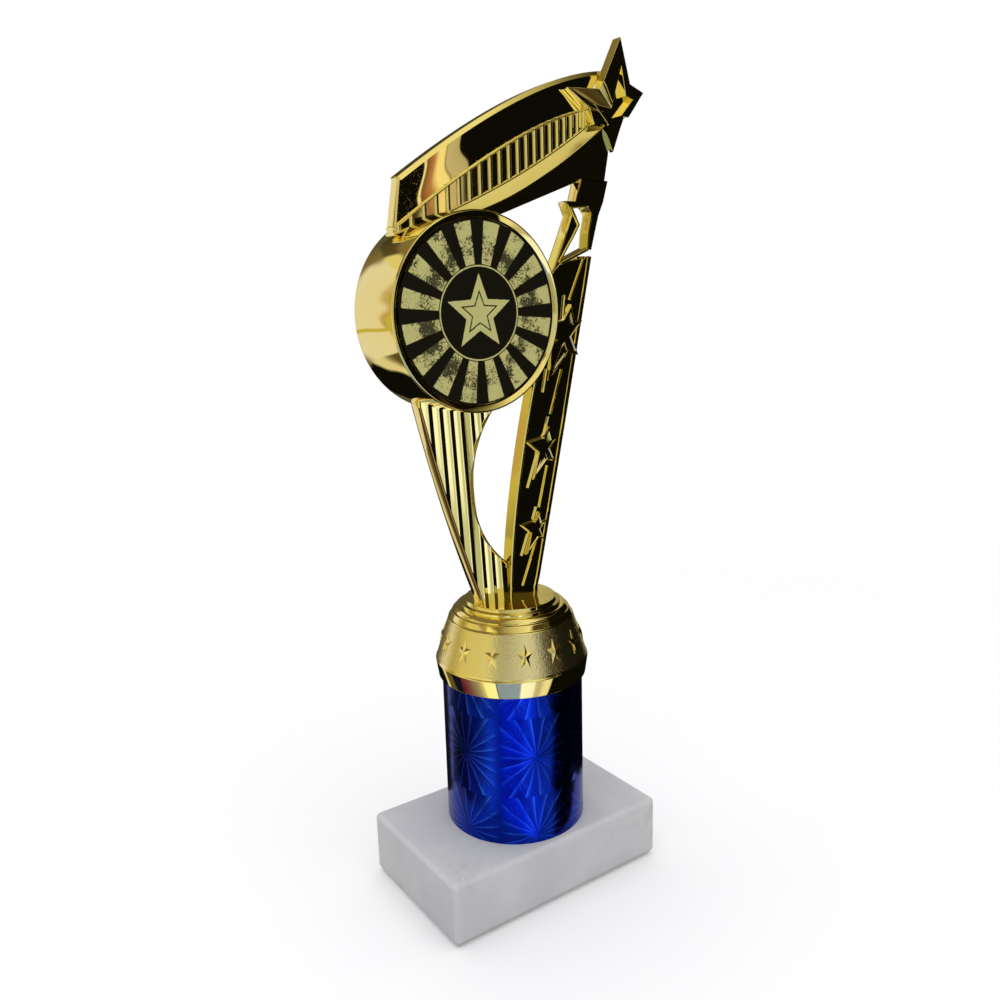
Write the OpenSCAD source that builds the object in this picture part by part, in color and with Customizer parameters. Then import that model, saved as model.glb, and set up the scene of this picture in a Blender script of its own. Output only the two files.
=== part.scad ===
// Column trophy: marble base, foil-covered column, gold riser cap and a moulded gold figure
// that holds a round emblem, all clamped together by one threaded rod.
// Millimetres, +Z up, front towards -Y. The origin is the middle of the underside.

/* [Base] */
// Length of the marble block, along X
base_l = 80; // [70:1:120]
// Width of the marble block, along Y
base_w = 50; // [46:1:90]
// Height of the marble block
base_h = 20; // [15:0.5:35]
// Size of the chamfer on every edge of the block
base_edge = 0.8; // [0.4:0.1:2]
// Thickness of the felt sheet under the block
felt_t = 1; // [0.6:0.1:2]
// Distance from the felt's edge to the block's edge
felt_inset = 1.5; // [0.5:0.5:5]

/* [Rod and fasteners] */
// Diameter of the threaded rod
rod_d = 6; // [4:0.5:8]
// Wall of the hexagon nut, from its thread to its flats
nut_wall = 2; // [1.5:0.1:3]
// Thickness of the nut
nut_h = 5; // [3:0.5:7]
// Width of the washer's ring
washer_rim = 2.6; // [2:0.1:6]
// Thickness of the washer
washer_t = 1.6; // [0.8:0.1:3]
// Space between the washer and the wall of its pocket
pocket_clear = 3; // [1:0.5:6]
// Depth left free below the end of the rod in its pocket
pocket_spare = 0.9; // [0.5:0.1:3]
// Space around the rod in the holes it passes through
rod_clear = 0.4; // [0.2:0.1:1]

/* [Column] */
// Outer diameter of the column, over its foil
column_d = 45; // [37:0.5:55]
// Height of the column tube
column_h = 51; // [35:1:120]
// Wall of the tube
tube_wall = 1.5; // [1:0.1:3]
// Thickness of the foil
foil_t = 0.15; // [0.1:0.05:0.4]
// Height of the two centring plugs in the tube
plug_h = 8; // [4:0.5:14]
// Gap between a plug and the tube
plug_clear = 0.15; // [0.05:0.05:0.4]

/* [Riser cap] */
// Height of the riser cap
riser_h = 22.7; // [21:0.1:34]
// How far the cap's skirt reaches down over the column
riser_lap = 1.7; // [1:0.1:4]
// Gap between the skirt and the foil
riser_clear = 0.2; // [0.1:0.05:0.5]
// How far the lower rim of the skirt stands out from the column
skirt_out = 1.1; // [0.8:0.1:2]
// Height of the polished skirt
skirt_h = 5.6; // [4:0.1:8]
// How far the lip at the top of the skirt stands out from the column
lip_out = 1.9; // [1.5:0.1:3]
// Height of the polished steps above the textured band
top_steps_h = 3.6; // [3:0.1:5]
// How far the top of the textured band stands out from the flat top
top_steps_w = 2.8; // [2:0.1:3.5]
// Width of the flat top around the foot of the figure
top_margin = 1.2; // [0.6:0.1:2]
// Wall of the cap
riser_wall = 1.8; // [1.2:0.1:2.5]
// Number of raised stars on the band
band_stars = 14; // [8:1:16]
// Size of a raised star, from its middle to its upper tip
band_star_r = 4.2; // [2.5:0.1:4.5]
// Width of a raised star as a share of a regular one's
band_star_wide = 0.66; // [0.5:0.02:1]
// How far the stars stand out from the band
band_star_out = 0.6; // [0.3:0.1:1]

/* [Figure] */
// Depth of the moulding at its rims
plate_t = 5; // [4:0.2:7]
// How far panels lie below the rims
panel_sink = 0.7; // [0.3:0.1:1]
// Width of the rims
rim_w = 1.1; // [0.8:0.1:1.6]
// Radius of the foot disc
foot_r = 14.3; // [13:0.1:16]
// Height of the foot disc
foot_h = 2.2; // [1.5:0.1:4]
// Height of the wider step under the foot disc
foot_step_h = 0.9; // [0.5:0.1:1.4]
// Width of that step
foot_step_w = 1.5; // [0.8:0.1:2]
// Wall of the boss under the foot, around the collar of its insert
boss_wall = 1.8; // [1.2:0.1:3]
// Length of the boss above and below its insert
boss_cover = 1.5; // [1:0.1:2]
// Gap between the boss and the hole in the cap
boss_clear = 0.2; // [0.1:0.05:0.5]
// Wall of the moulded-in threaded insert
insert_wall = 1.5; // [1:0.1:2]
// Length of the threaded insert
insert_l = 7; // [5:0.5:8]
// Depth of the large star's frame in front of its panel
star_depth = 3.4; // [2:0.2:5]
// Thickness of the floor inside the star's frame
star_floor = 1.2; // [0.8:0.1:1.6]

/* [Emblem drum] */
// Diameter of the emblem disc
emblem_d = 50; // [40:1:62]
// Thickness of the emblem disc
emblem_t = 0.8; // [0.4:0.1:1.5]
// Thickness of the adhesive pad behind the emblem
pad_t = 0.5; // [0.3:0.1:1]
// How deep the face of the emblem lies behind the drum's rim
emblem_sink = 0.5; // [0.2:0.1:1]
// Gap around the emblem
emblem_clear = 1.2; // [0.5:0.1:1.5]
// Width of the drum's rim
drum_rim = 1.3; // [1:0.1:2]
// How far the drum flares from its front rim to its back
drum_flare = 0.5; // [0:0.1:1]
// How far the drum's front rim stands in front of the middle of the plate
drum_front = 13; // [9:0.5:16]
// How far the drum's back rim stands behind the middle of the plate
drum_back = 8; // [6:0.5:12]
// Wall of the drum
drum_wall = 2; // [1.5:0.1:3]
// Thickness of the cover that closes the drum's back
cover_t = 1.5; // [1:0.1:2]
// Gap around the back cover
cover_clear = 0.1; // [0.05:0.05:0.3]

/* [Hidden] */

$fn = 96;
eps = 0.01;

gold = "goldenrod";
steel = "silver";

// Levels, from the underside up
z_base = felt_t;
z_column = z_base + base_h;
z_tube_top = z_column + column_h;
z_riser = z_tube_top - riser_lap;
z_figure = z_riser + riser_h;

tube_od = column_d - 2 * foil_t;
tube_id = tube_od - 2 * tube_wall;
rod_hole_d = rod_d + 2 * rod_clear;
nut_af = rod_d + 2 * nut_wall;
washer_d = rod_hole_d + 2 * washer_rim;
pocket_d = washer_d + 2 * pocket_clear;
rod_tail = 0.5;
rod_z = z_base + pocket_spare;
nut_z = rod_z + rod_tail;
washer_z = nut_z + nut_h;
pocket_depth = pocket_spare + rod_tail + nut_h + washer_t;

// The boss, with the insert and its collar
insert_d = rod_d + 2 * insert_wall;
insert_collar = 0.7;
insert_fit = 0.05;
boss_d = insert_d + 2 * (insert_collar + boss_wall);
boss_l = insert_l + 2 * boss_cover;
insert_z = z_figure - boss_l + boss_cover;
rod_top = insert_z + insert_l;

// The riser cap's conical band, from the lip over the column to the steps around the figure's foot
foot_step_r = foot_r + foot_step_w;
riser_top_r = foot_step_r + top_margin;
lip_round = 0.3;
band_r0 = column_d / 2 + lip_out - lip_round;
band_z0 = skirt_h + lip_round;
band_r1 = riser_top_r + top_steps_w;
band_z1 = riser_h - top_steps_h;

// The figure is drawn in its own plane: x to the right, y up from the top of the riser cap.
drum_c = [-16.4, 90.4];
drum_r = emblem_d / 2 + emblem_clear + drum_rim;
recess_r = emblem_d / 2 + emblem_clear;
seat_y = -drum_front + emblem_sink + emblem_t + pad_t;
drum_edge = 0.4;
cover_ledge = 1.2;
hollow_r = drum_r + drum_flare - drum_wall - cover_ledge;
pad_inset = 1;
rim_half = plate_t / 2;
panel_half = rim_half - panel_sink;
post_half = rim_half - panel_sink / 2;

// Points of a curve from a to c that is drawn towards b
function bend(a, b, c, n = 12) =
    [for (i = [0 : n]) let (t = i / n) (1 - t) * (1 - t) * a + 2 * t * (1 - t) * b + t * t * c];
function back_to_front(p) = [for (i = [len(p) - 1 : -1 : 0]) p[i]];

// Curves of the wing at the top of the figure
wing_top = bend([-34, 126.7], [10, 157], [38, 160]);
wing_end = [-36.3, 111.6];
band_top = bend([-36.3, 113.5], [5, 142.5], [30, 148.5]);
band_low = bend([-36.3, 111.8], [2, 124.2], [32.4, 144.6]);
rail_low = bend([-25, 115], [2, 118], [37.5, 144.3]);
wing_low = [[-5, 116.3], [28.6, 128.2]];

// Edges of the post and of the fan
post_right = concat([[9.6, 0], [9.4, 3.5]], bend([10.5, 7], [22.5, 58], [35.5, 118], 10));
post_left = bend([-1.5, 0], [-1, 29], [9.5, 69], 10);
fan_left = concat([[-11.5, 0]], bend([-12.5, 5], [-23, 33], [-31, 66], 8));
fan_right = concat(bend([2, 70], [-15, 57], [-14.2, 38], 8), bend([-14.2, 38], [-13.8, 23], [-2.2, 13.5], 8));

// The large star, whose lower leg is the post: its outline, and the frame that stands up along it and ends
// in the lower rail
star_outline = [[30, 148.5], [23, 153.6], [34.2, 154.2], [42, 169.3], [46, 156.5], [51.5, 154.5],
    [45.5, 147], [41, 136], [37.5, 144.3], [32.4, 144.6]];
star_frame = [[30, 148.5], [23, 153.6], [34.2, 154.2], [42, 169.3], [46, 156.5], [51.5, 154.5],
    [45.5, 147], [42.2, 147.2], [47, 152.2], [44.2, 153], [42.4, 161], [38.4, 148.8], [32, 149.5],
    [37.5, 144.3], [32.4, 144.6]];

// A flying star, about 13 high, with long arms to the left and short ones to the right
flying_star = [[-5.4, 2.5], [-0.3, 3.3], [1.6, 5.8], [2.3, 3], [4.1, 2.9],
               [1.6, 0.3], [3.1, -3.1], [0.7, -2.7], [-3.8, -7.2], [-2, -0.4]];
// Each star on the post: middle and scale
post_stars = [[[8.6, 22.3], 1], [[12.6, 47.7], 1.24], [[21, 81.6], 1.75]];
// Bars and fine lines that trail from the stars: two ends and a width
trails = [
    [[5.9, 21.5], [3.3, 14.9], 1.3], [[8, 26], [9.4, 29.8], 1.3],
    [[10.2, 46.5], [6.3, 36.3], 1.6], [[12.9, 52], [14.8, 57.8], 1.5],
    [[14.4, 72.5], [12.9, 65.5], 1.7], [[20.7, 86.5], [21.8, 94.5], 1.8],
    [[9, 18.5], [3.5, 5], 0.7], [[14, 42.5], [10.5, 29.5], 0.6],
    [[20.3, 72], [15.7, 58.5], 0.7], [[23.8, 93.2], [29.8, 106], 0.6]
];

// Openings between the parts of the figure
gap_crescent = concat(fan_right, [for (p = post_left) if (p[1] > 13.5) p], [[8.5, 75], [2, 76]]);
gap_wing = [[-5, 116.3], [28.6, 128.2], [26.7, 122], [23.2, 122], [25, 118],
            [22, 111], [17.6, 101.6], [14, 98], [6, 98], [-5, 108]];
gap_star = [[25.4, 120.4], [31.2, 120.8], [33, 118.5], [31.8, 113.5], [31.4, 108.6],
            [29.8, 109.3], [20.6, 104.5], [28.2, 115.3]];

// Narrow rims: under the band's ribs, and the fine line along the post
low_rim_w = 0.9;
post_line_w = 0.5;
post_line_in = 1.6;

// Ribs of the wing's band stand closer together towards the star
band_ribs = 21;
band_rib_w = 1.2;
function band_rib_x(i) = -39.3 + 4.23 * i - 0.045 * i * i;
// Ribs of the fan
fan_ribs = 11;
fan_pitch = 3.5;
fan_rib_w = 2.5;
fan_lean = 3;
fan_x = 4.5;

// How far the trailing bars and the stars of the post stand above the rims
trail_up = 0.3;
star_up = 0.8;

module cut_block(size, edge) {
    intersection() {
        linear_extrude(size[2]) cut_rectangle(size[0], size[1], edge);
        translate([0, size[1] / 2, size[2] / 2]) rotate([90, 0, 0])
            linear_extrude(size[1]) cut_rectangle(size[0], size[2], edge);
        translate([-size[0] / 2, 0, size[2] / 2]) rotate([90, 0, 90])
            linear_extrude(size[0]) cut_rectangle(size[1], size[2], edge);
    }
}

module cut_rectangle(l, w, edge) {
    x = l / 2;
    y = w / 2;
    polygon([[-x + edge, -y], [x - edge, -y], [x, -y + edge], [x, y - edge],
             [x - edge, y], [-x + edge, y], [-x, y - edge], [-x, -y + edge]]);
}

module ring(od, id, h) {
    difference() {
        cylinder(d = od, h = h);
        translate([0, 0, -1]) cylinder(d = id, h = h + 2);
    }
}

module hexagon_nut(af, hole_d, h) {
    difference() {
        cylinder(d = af / cos(30), h = h, $fn = 6);
        translate([0, 0, -1]) cylinder(d = hole_d, h = h + 2);
    }
}

// Stands a shape of the figure's plane upright, half its depth on each side of the plate's middle
module upright(half) {
    translate([0, half, z_figure]) rotate([90, 0, 0]) linear_extrude(2 * half) children();
}

// Stands a shape upright between two distances from the plate's middle, front negative
module upright_between(y0, y1) {
    translate([0, y1, z_figure]) rotate([90, 0, 0]) linear_extrude(y1 - y0) children();
}

// A turned shape on the drum's axis, whose profile is [radius, y]
module turned_on_drum(profile) {
    translate([drum_c[0], 0, z_figure + drum_c[1]]) rotate([-90, 0, 0]) rotate_extrude() polygon(profile);
}

module bar(a, b, w) {
    d = (b - a) / norm(b - a);
    n = [-d[1], d[0]] * w / 2;
    polygon([a - n, b - n, b + n, a + n]);
}

// A strip of width w along a curve, to its left
module strip(p, w) {
    n = len(p) - 1;
    function across(i) = let (d = p[min(i + 1, n)] - p[max(i - 1, 0)]) [-d[1], d[0]] / norm(d);
    polygon(concat(p, [for (i = [n : -1 : 0]) p[i] + w * across(i)]));
}

module wing_area() {
    polygon(concat([wing_end], [[-25, 100], [0, 112]], wing_low, [[40, 130], [38, 160]],
                   back_to_front(wing_top)));
}

module post_area() {
    polygon(concat(post_right, [[40, 126], [41, 140], [34, 142], [28.6, 128.2], [26.7, 122],
                   [23.2, 122], [25, 118], [17.6, 101.6], [9.5, 96], [8, 78]],
                   back_to_front(post_left)));
}

module fan_area() {
    polygon(concat(fan_left, [[-20, 80], [2, 80], [2, 70]], fan_right, [[-1.5, 13.5], [-1.5, 0]]));
}

module gaps() {
    polygon(gap_crescent);
    polygon(gap_wing);
    polygon(gap_star);
}

// The ribbed band of the wing
module band_area() {
    polygon(concat(band_low, back_to_front(band_top)));
}

module band_bars() {
    for (i = [1 : band_ribs])
        translate([band_rib_x(i), 105]) square([band_rib_w, 50]);
}

module fan_bars() {
    intersection() {
        fan_area();
        for (i = [0 : fan_ribs - 1])
            translate([(i - fan_ribs) * fan_pitch + fan_x, 0]) rotate(fan_lean)
                translate([0, -3]) square([fan_rib_w, 90]);
    }
}

// Rims that border the panels of the wing and the post
module rims() {
    strip(back_to_front(wing_top), rim_w);
    polygon([wing_end, wing_end + [rim_w, 0], [-34 + rim_w, 126.7], [-34, 126.7]]);
    strip(back_to_front(band_top), rim_w);
    strip(band_low, -low_rim_w);
    strip(post_left, -rim_w);
    strip([for (p = post_right) p - [post_line_in, 0]], post_line_w);
    bar([18.1, 101.2], [25.7, 117.8], rim_w);
    bar([25.9, 117.6], [24.2, 122.4], rim_w);
    bar([20.6, 104], [31.2, 108.2], rim_w);
}

module large_star() {
    front = -panel_half - star_depth;
    upright_between(front, eps - panel_half) polygon(star_frame);
    upright_between(-panel_half - star_floor, eps - panel_half) polygon(star_outline);
}

// The hollow drum, closed at the front by the web that the emblem is stuck to
module drum_shell() {
    r0 = drum_r;
    r1 = drum_r + drum_flare;
    web = seat_y + drum_wall;
    turned_on_drum([
        [0, seat_y], [recess_r, seat_y], [recess_r, -drum_front], [r0 - drum_edge, -drum_front],
        [r0, -drum_front + drum_edge], [r1, drum_back - drum_edge], [r1 - drum_edge, drum_back],
        [r1 - drum_wall, drum_back], [r1 - drum_wall, drum_back - cover_t], [hollow_r, drum_back - cover_t],
        [hollow_r, web], [0, web]
    ]);
}

module drum_hollow() {
    turned_on_drum([[0, seat_y + drum_wall], [hollow_r, seat_y + drum_wall],
                    [hollow_r, drum_back + 1], [0, drum_back + 1]]);
}

module figure_foot() {
    translate([0, 0, z_figure]) {
        cylinder(r = foot_step_r, h = foot_step_h);
        cylinder(r = foot_r, h = foot_h);
    }
    translate([0, 0, z_figure - boss_l]) cylinder(d = boss_d, h = boss_l + foot_step_h);
}

module insert_shape(gap) {
    r = insert_d / 2 + gap;
    translate([0, 0, insert_z - gap]) {
        cylinder(r = r, h = insert_l + 2 * gap);
        translate([0, 0, insert_l * 0.35]) cylinder(r = r + insert_collar, h = insert_l * 0.3 + 2 * gap);
    }
}

// A raised star on the riser's band, standing on the cone at one angle
module band_star(angle) {
    slope = atan2(band_r0 - band_r1, band_z1 - band_z0);
    root = 1;
    inner = 0.45;
    rotate([0, 0, angle]) translate([(band_r0 + band_r1) / 2, 0, z_riser + (band_z0 + band_z1) / 2])
        rotate([0, 90 - slope, 0]) translate([0, 0, -root]) rotate(180)
            linear_extrude(root + band_star_out) polygon([
                for (i = [0 : 9])
                    band_star_r * (i % 2 == 0 ? 1 : inner) * [cos(36 * i), band_star_wide * sin(36 * i)]
            ]);
}

module base_felt() {
    size = [base_l - 2 * felt_inset, base_w - 2 * felt_inset, felt_t];
    color("lightgray") translate([0, 0, felt_t / 2]) cube(size, center = true);
}

module marble_base() {
    color("whitesmoke") difference() {
        translate([0, 0, z_base]) cut_block([base_l, base_w, base_h], base_edge);
        translate([0, 0, z_base - 1]) cylinder(d = rod_hole_d, h = base_h + 2);
        translate([0, 0, z_base - 1]) cylinder(d = pocket_d, h = pocket_depth + 1);
    }
}

module base_washer() {
    color(steel) translate([0, 0, washer_z]) ring(washer_d, rod_hole_d, washer_t);
}

module base_nut() {
    color(steel) translate([0, 0, nut_z]) hexagon_nut(nut_af, rod_d, nut_h);
}

module threaded_rod() {
    color(steel) translate([0, 0, rod_z]) cylinder(d = rod_d, h = rod_top - rod_z);
}

module column_plug(z) {
    translate([0, 0, z]) ring(tube_id - 2 * plug_clear, rod_hole_d, plug_h);
}

module column_plug_lower() {
    color("dimgray") column_plug(z_column);
}

module column_plug_upper() {
    color("dimgray") column_plug(z_tube_top - plug_h);
}

module column_tube() {
    color("gainsboro") translate([0, 0, z_column]) ring(tube_od, tube_id, column_h);
}

module column_foil() {
    color("blue") translate([0, 0, z_column]) ring(column_d, tube_od, column_h);
}

module riser_cap() {
    r = column_d / 2;
    seat_r = tube_id / 2 + 0.3;
    hole_r = boss_d / 2 + boss_clear;
    step = 0.4;
    color(gold) union() {
        translate([0, 0, z_riser]) rotate_extrude() polygon([
            [r + skirt_out, 0], [r + lip_out, skirt_h - lip_round / 2], [band_r0, band_z0],
            [band_r1, band_z1], [band_r1 - step, band_z1 + step / 2],
            [riser_top_r + 1.6, riser_h - 1.6], [riser_top_r + 1.1, riser_h - 1.5],
            [riser_top_r + step, riser_h - step], [riser_top_r, riser_h], [hole_r, riser_h],
            [hole_r, riser_h - riser_wall], [riser_top_r - riser_wall, riser_h - riser_wall],
            [band_r1 - riser_wall - step, band_z1 - 1], [seat_r, riser_lap + 2], [seat_r, riser_lap],
            [r + riser_clear, riser_lap], [r + riser_clear, 0]
        ]);
        for (i = [0 : band_stars - 1]) band_star(-90 + 1 + i * 360 / band_stars);
    }
}

module figure_body() {
    color(gold) difference() {
        union() {
            upright(panel_half) difference() {
                union() {
                    wing_area();
                    post_area();
                    fan_area();
                }
                gaps();
            }
            upright(post_half) difference() {
                post_area();
                gaps();
            }
            upright(rim_half) difference() {
                union() {
                    rims();
                    fan_bars();
                    intersection() {
                        band_area();
                        band_bars();
                    }
                    polygon(concat(rail_low, back_to_front([for (p = band_low) if (p[0] > -20) p])));
                }
                gaps();
            }
            upright(rim_half + trail_up) for (t = trails) bar(t[0], t[1], t[2]);
            upright(rim_half + star_up) for (s = post_stars) translate(s[0]) scale(s[1]) polygon(flying_star);
            large_star();
            drum_shell();
            figure_foot();
        }
        drum_hollow();
        translate([0, 0, z_figure - boss_l - 1]) cylinder(d = rod_hole_d, h = boss_l + 1);
        insert_shape(insert_fit);
    }
}

module figure_insert() {
    color("peru") difference() {
        insert_shape(0);
        translate([0, 0, insert_z - 1]) cylinder(d = rod_d, h = insert_l + 2);
    }
}

module emblem_pad() {
    r = emblem_d / 2 - pad_inset;
    color("white") turned_on_drum([[0, seat_y - pad_t], [r, seat_y - pad_t], [r, seat_y], [0, seat_y]]);
}

module emblem_disc() {
    y = seat_y - pad_t;
    color("gold") turned_on_drum([
        [0, y - emblem_t], [emblem_d / 2, y - emblem_t], [emblem_d / 2, y], [0, y]
    ]);
}

module drum_back_cover() {
    r = drum_r + drum_flare - drum_wall - cover_clear;
    front = drum_back - cover_t;
    color(gold) turned_on_drum([[0, front], [r, front], [r, drum_back], [0, drum_back]]);
}

base_felt();
marble_base();
base_nut();
base_washer();
threaded_rod();
column_plug_lower();
column_tube();
column_foil();
column_plug_upper();
riser_cap();
figure_body();
figure_insert();
emblem_pad();
emblem_disc();
drum_back_cover();
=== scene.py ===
"""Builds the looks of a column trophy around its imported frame, with a stage to see it on."""

import math
from functools import cache

import bmesh
import bpy
import numpy as np
from mathutils import Matrix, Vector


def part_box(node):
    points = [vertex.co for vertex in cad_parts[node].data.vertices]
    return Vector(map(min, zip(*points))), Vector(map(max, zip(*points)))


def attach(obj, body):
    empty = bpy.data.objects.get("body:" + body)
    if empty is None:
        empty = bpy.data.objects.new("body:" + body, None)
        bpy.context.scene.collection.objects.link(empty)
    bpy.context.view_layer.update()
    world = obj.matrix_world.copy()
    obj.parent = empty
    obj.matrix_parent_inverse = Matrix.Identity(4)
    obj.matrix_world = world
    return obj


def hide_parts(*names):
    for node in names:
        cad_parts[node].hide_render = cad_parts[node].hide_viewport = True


bl_info = {
    "name": "Column Trophy Looks",
    "version": (1, 0, 0),
    "blender": (4, 5, 0),
    "location": "3D View > Sidebar > Trophy",
    "description": "Pieces and finishes of a column trophy, built around its frame",
    "category": "Object",
}

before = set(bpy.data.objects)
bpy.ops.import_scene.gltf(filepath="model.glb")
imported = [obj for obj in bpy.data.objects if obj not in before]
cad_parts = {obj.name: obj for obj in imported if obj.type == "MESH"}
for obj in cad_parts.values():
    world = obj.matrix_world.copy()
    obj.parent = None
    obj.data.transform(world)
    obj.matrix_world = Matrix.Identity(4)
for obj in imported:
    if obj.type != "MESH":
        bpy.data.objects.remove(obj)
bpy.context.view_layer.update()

MM = 0.001


def box_mm(node):
    """Lowest and highest corner of a frame node, in millimetres."""
    low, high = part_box(node)
    return np.array(low) / MM, np.array(high) / MM


BLOCK_LOW, BLOCK_HIGH = box_mm("marble_base")
FOIL_LOW, FOIL_HIGH = box_mm("column_foil")
RISER_LOW, RISER_HIGH = box_mm("riser_cap")
COVER_LOW, COVER_HIGH = box_mm("drum_back_cover")
EMBLEM_LOW, EMBLEM_HIGH = box_mm("emblem_disc")

# Clearances and walls that the boxes don't give: round the rod, from the washer to its pocket's wall, from
# the drum's rim back to the emblem, round the emblem, and the drum's rim itself
ROD_GAP, POCKET_GAP, EMBLEM_DEPTH, RECESS_GAP, RECESS_WALL = 0.4, 3, 0.5, 1.2, 1.3

# The figure is drawn in its own plane: x to the right, h up from the top of the riser cap.
FIGURE_Z = RISER_HIGH[2]
COLUMN_R = FOIL_HIGH[0]
DRUM_X, DRUM_Z = (COVER_LOW[0] + COVER_HIGH[0]) / 2, (COVER_LOW[2] + COVER_HIGH[2]) / 2
EMBLEM_R = (EMBLEM_HIGH[0] - EMBLEM_LOW[0]) / 2
DRUM_FRONT = EMBLEM_LOW[1] - EMBLEM_DEPTH
DRUM_BACK = COVER_HIGH[1]
RECESS_R = EMBLEM_R + RECESS_GAP
DRUM_R = RECESS_R + RECESS_WALL

# Half the depth of the figure at its panels, post, rims, bars and stars
PANEL, POST, RIM, TRAIL, STAR = 1.8, 2.15, 2.5, 2.8, 3.3
STAR_FRONT = PANEL + 3.4

# Where the floor starts and ends its fade, in millimetres from the trophy
FLOOR_FADE = (120, 520)
# The viewpoint: its place in metres, its yaw, pitch and roll in degrees, and its lens
VIEW_PLACE, VIEW_TURN, VIEW_LENS = (-0.1578, -0.2252, 0.1884), (34.53, 12.76, -1.65), 32.71


def points(*pairs):
    """An array of points, one in each row."""
    return np.array(pairs, float)


def bend(a, b, c, n=12):
    """Points of the curve from a to c that is drawn towards b: (1-t)^2 a + 2t(1-t) b + t^2 c."""
    t = np.linspace(0, 1, n + 1)[:, None]
    a, b, c = (np.array(p, float) for p in (a, b, c))
    return (1 - t) ** 2 * a + 2 * t * (1 - t) * b + t**2 * c


# Curves of the wing, from its left end to the large star
WING_TOP = bend((-34, 126.7), (10, 157), (38, 160), 60)
BAND_TOP = bend((-36.3, 113.5), (5, 142.5), (30, 148.5), 60)
BAND_LOW = bend((-36.3, 111.8), (2, 124.2), (32.4, 144.6), 60)
RAIL_LOW = bend((-25, 115), (2, 118), (37.5, 144.3), 60)
WING_LOW = points((-22, 113.5), (-5, 116.3), (28.6, 128.2), (38.5, 128.2))
WING_END = points((-36.3, 111.6), (-34, 126.7))

# Edges of the post and of the fan, from the foot up
POST_LEFT = bend((-1.5, 0), (-1, 29), (9.5, 69), 30)
POST_RIGHT = np.vstack([points((9.6, 0), (9.4, 3.5)), bend((10.5, 7), (22.5, 58), (35.5, 118), 30)])
FAN_LEFT = np.vstack([points((-11.5, 0)), bend((-12.5, 5), (-23, 33), (-31, 66), 20)])
FAN_RIGHT = np.vstack([
    points((-1.5, 0)), bend((-2.2, 13.5), (-13.8, 23), (-14.2, 38)),
    bend((-14.2, 38), (-15, 57), (2, 70))[1:],
])

# Ends of the riser's cone as (radius, height above the riser's lower edge), and the width of a star on it as
# a share of a regular one's
CONE_LOW, CONE_HIGH = points((COLUMN_R + 1.6, 5.9), (19.8, 19.1))
BAND_STAR_WIDE = 0.66

# The large star's frame from the end of the band: its outer outline, the inner one that goes with it point
# by point, and how far each point of the outer one slopes back
STAR_OUTER = points((31.6, 143.9), (30, 148.5), (23, 153.6), (34.2, 154.2), (35, 155.8), (42, 169.3),
                    (46, 156.5), (51.5, 154.5), (45.5, 147))
STAR_INNER = points((37.5, 144.3), (34.6, 147), (32, 149.5), (38.4, 148.8), (38.8, 150), (42.4, 161),
                    (44.2, 153), (47, 152.2), (42.2, 147.2))
STAR_SLOPE = np.array([0, 0.3, 1.6, 0.8, 0, 0, 0, 0, 0])
# The floor inside the frame, between its left and its right side, from the top down
STAR_FLOOR_LEFT = points((41.8, 168.5), (34.4, 154), (24, 153.4), (30.2, 148.4), (33, 144.6), (37.5, 144.4))
STAR_FLOOR_RIGHT = points((42.2, 168.5), (45.8, 156.6), (51, 154.4), (45.4, 147.2), (43.5, 143), (41, 137))

# The open star below it: outer and inner edge of its left side, then of its right side
OPEN_STAR_LEFT = (
    points((15, 99), (17.6, 101.6), (22, 111), (25, 118), (23.2, 122), (26.7, 122), (28.6, 128.6)),
    points((20.6, 104.5), (22.2, 106.8), (26, 112), (28.2, 115.3), (25.4, 120.4), (31.2, 120.8), (34, 128.6)),
)
OPEN_STAR_RIGHT = (
    points((34, 128.6), (31.2, 120.8), (33, 118.5), (31.8, 113.5), (31.2, 108.4)),
    points((39.8, 128.6), (38, 122.5), (36, 118.3), (34.6, 113.6), (33, 108)),
)

# A flying star, with long arms to the left and short ones to the right, and where it sits on the post
FLYING_STAR = points((-5.4, 2.5), (-0.3, 3.3), (1.6, 5.8), (2.3, 3), (4.1, 2.9),
                     (1.6, 0.3), (3.1, -3.1), (0.7, -2.7), (-3.8, -7.2), (-2, -0.4))
POST_STARS = (((8.6, 22.3), 1), ((12.6, 47.7), 1.24), ((21, 81.6), 1.75))
# Bars and fine lines that trail from the stars: two ends and a width
TRAILS = (
    ((5.9, 21.5), (3.3, 14.9), 1.3), ((8, 26), (9.4, 29.8), 1.3),
    ((10.2, 46.5), (6.3, 36.3), 1.6), ((12.9, 52), (14.8, 57.8), 1.5),
    ((14.4, 72.5), (12.9, 65.5), 1.7), ((20.7, 86.5), (21.8, 94.5), 1.8),
    ((9, 18.5), (3.5, 5), 0.7), ((14, 42.5), (10.5, 29.5), 0.6),
    ((20.3, 72), (15.7, 58.5), 0.7), ((23.8, 93.2), (29.8, 106), 0.6),
)


# ---- shapes


def resample(curve, n):
    """n points at even distances along a polyline."""
    steps = np.linalg.norm(np.diff(curve, axis=0), axis=1)
    along = np.concatenate([[0], np.cumsum(steps)])
    at = np.linspace(0, along[-1], n)
    return np.stack([np.interp(at, along, curve[:, k]) for k in range(curve.shape[1])], axis=1)


def densify(outline, per_edge, closed=True):
    """The outline with per_edge points on each of its edges, corners kept."""
    following = np.roll(outline, -1, axis=0) if closed else outline[1:]
    start = outline if closed else outline[:-1]
    t = (np.arange(per_edge) / per_edge)[None, :, None]
    dense = (start[:, None] * (1 - t) + following[:, None] * t).reshape(-1, outline.shape[1])
    return dense if closed else np.vstack([dense, outline[-1:]])


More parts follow.
